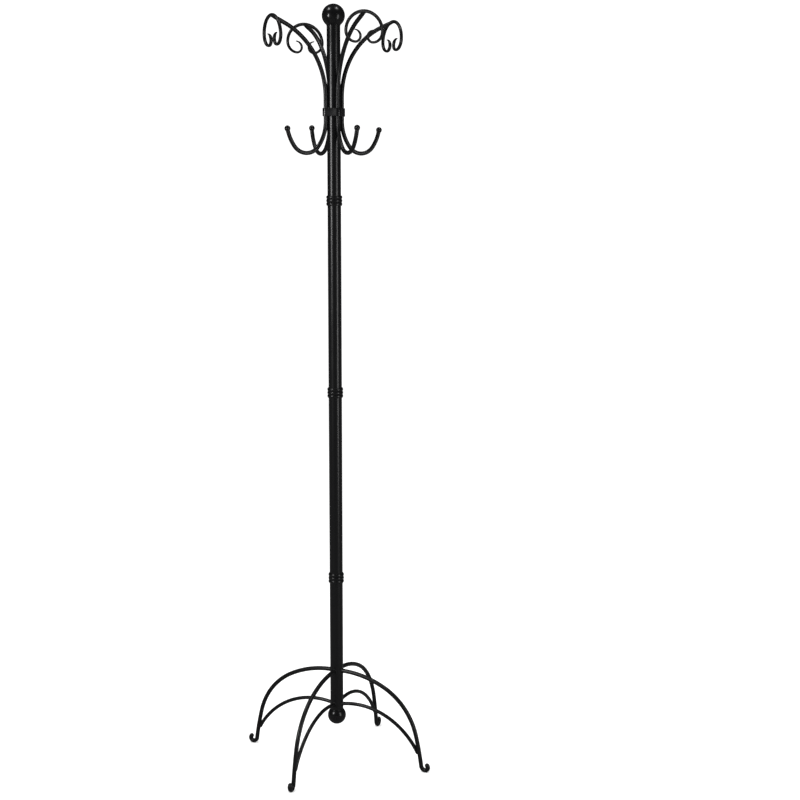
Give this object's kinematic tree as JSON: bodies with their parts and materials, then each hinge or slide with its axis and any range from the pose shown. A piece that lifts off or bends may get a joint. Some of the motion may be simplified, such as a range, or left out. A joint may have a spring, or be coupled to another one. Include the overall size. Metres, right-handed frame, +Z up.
{
  "type": "standing coat rack",
  "caption": "Free-standing black steel coat rack: a sectional tube pole on bowed rod legs, with S-bent rod hooks and arms that end in ram's horn scrolls.",
  "frame": {"origin": "on the floor, on the pole's axis, at the middle of the four feet", "axes": "+Z up along the pole; two of the head's four arms lie along +X and -X, the other two along +Y and -Y; the legs are turned 36.93 degrees from the arms"},
  "size_m": [0.405, 0.405, 1.8288],
  "materials": {
    "black_paint": "satin black powder coat",
    "bare_steel": "machined, lightly oiled"
  },
  "bodies": {
    "base": {"base_post": "black_paint", "base_ball": "black_paint", "socket_plug_1": "bare_steel", "leg_1": "black_paint", "leg_2": "black_paint", "leg_3": "black_paint", "leg_4": "black_paint", "brace_1": "black_paint", "brace_2": "black_paint", "brace_3": "black_paint", "brace_4": "black_paint"},
    "collar_1": {"joint_collar_1": "black_paint"},
    "section_2": {"pole_section_2": "black_paint", "stud_plug_1": "bare_steel", "joint_stud_1": "bare_steel", "socket_plug_2": "bare_steel"},
    "collar_2": {"joint_collar_2": "black_paint"},
    "section_3": {"pole_section_3": "black_paint", "stud_plug_2": "bare_steel", "joint_stud_2": "bare_steel", "socket_plug_3": "bare_steel"},
    "collar_3": {"joint_collar_3": "black_paint"},
    "head": {"pole_section_4": "black_paint", "stud_plug_3": "bare_steel", "joint_stud_3": "bare_steel", "top_ball": "black_paint", "head_band": "black_paint", "hook_rod_1": "black_paint", "hook_rod_2": "black_paint", "hook_rod_3": "black_paint", "hook_rod_4": "black_paint", "hook_tip_1": "black_paint", "hook_tip_2": "black_paint", "hook_tip_3": "black_paint", "hook_tip_4": "black_paint", "scroll_1": "black_paint", "scroll_2": "black_paint", "scroll_3": "black_paint", "scroll_4": "black_paint"}
  },
  "joints": [
    {"name": "section_2_rise", "type": "slide", "parent": "base", "child": "collar_1", "axis": [0, 0, 1], "range_m": [0, 0.01201]},
    {"name": "section_2_turn", "type": "hinge", "parent": "collar_1", "child": "section_2", "pos_m": [0, 0, 0.4598], "axis": [0, 0, 1], "range_deg": [0, 2880]},
    {"name": "section_3_rise", "type": "slide", "parent": "section_2", "child": "collar_2", "axis": [0, 0, 1], "range_m": [0, 0.01201]},
    {"name": "section_3_turn", "type": "hinge", "parent": "collar_2", "child": "section_3", "pos_m": [0, 0, 0.9176], "axis": [0, 0, 1], "range_deg": [0, 2880]},
    {"name": "head_rise", "type": "slide", "parent": "section_3", "child": "collar_3", "axis": [0, 0, 1], "range_m": [0, 0.01201]},
    {"name": "head_turn", "type": "hinge", "parent": "collar_3", "child": "head", "pos_m": [0, 0, 1.3754], "axis": [0, 0, 1], "range_deg": [0, 2880]}
  ],
  "couplings": [
    {"joint": "section_2_rise", "follows": "section_2_turn", "m_per_rad": 0.00023873},
    {"joint": "section_3_rise", "follows": "section_3_turn", "m_per_rad": 0.00023873},
    {"joint": "head_rise", "follows": "head_turn", "m_per_rad": 0.00023873}
  ]
}
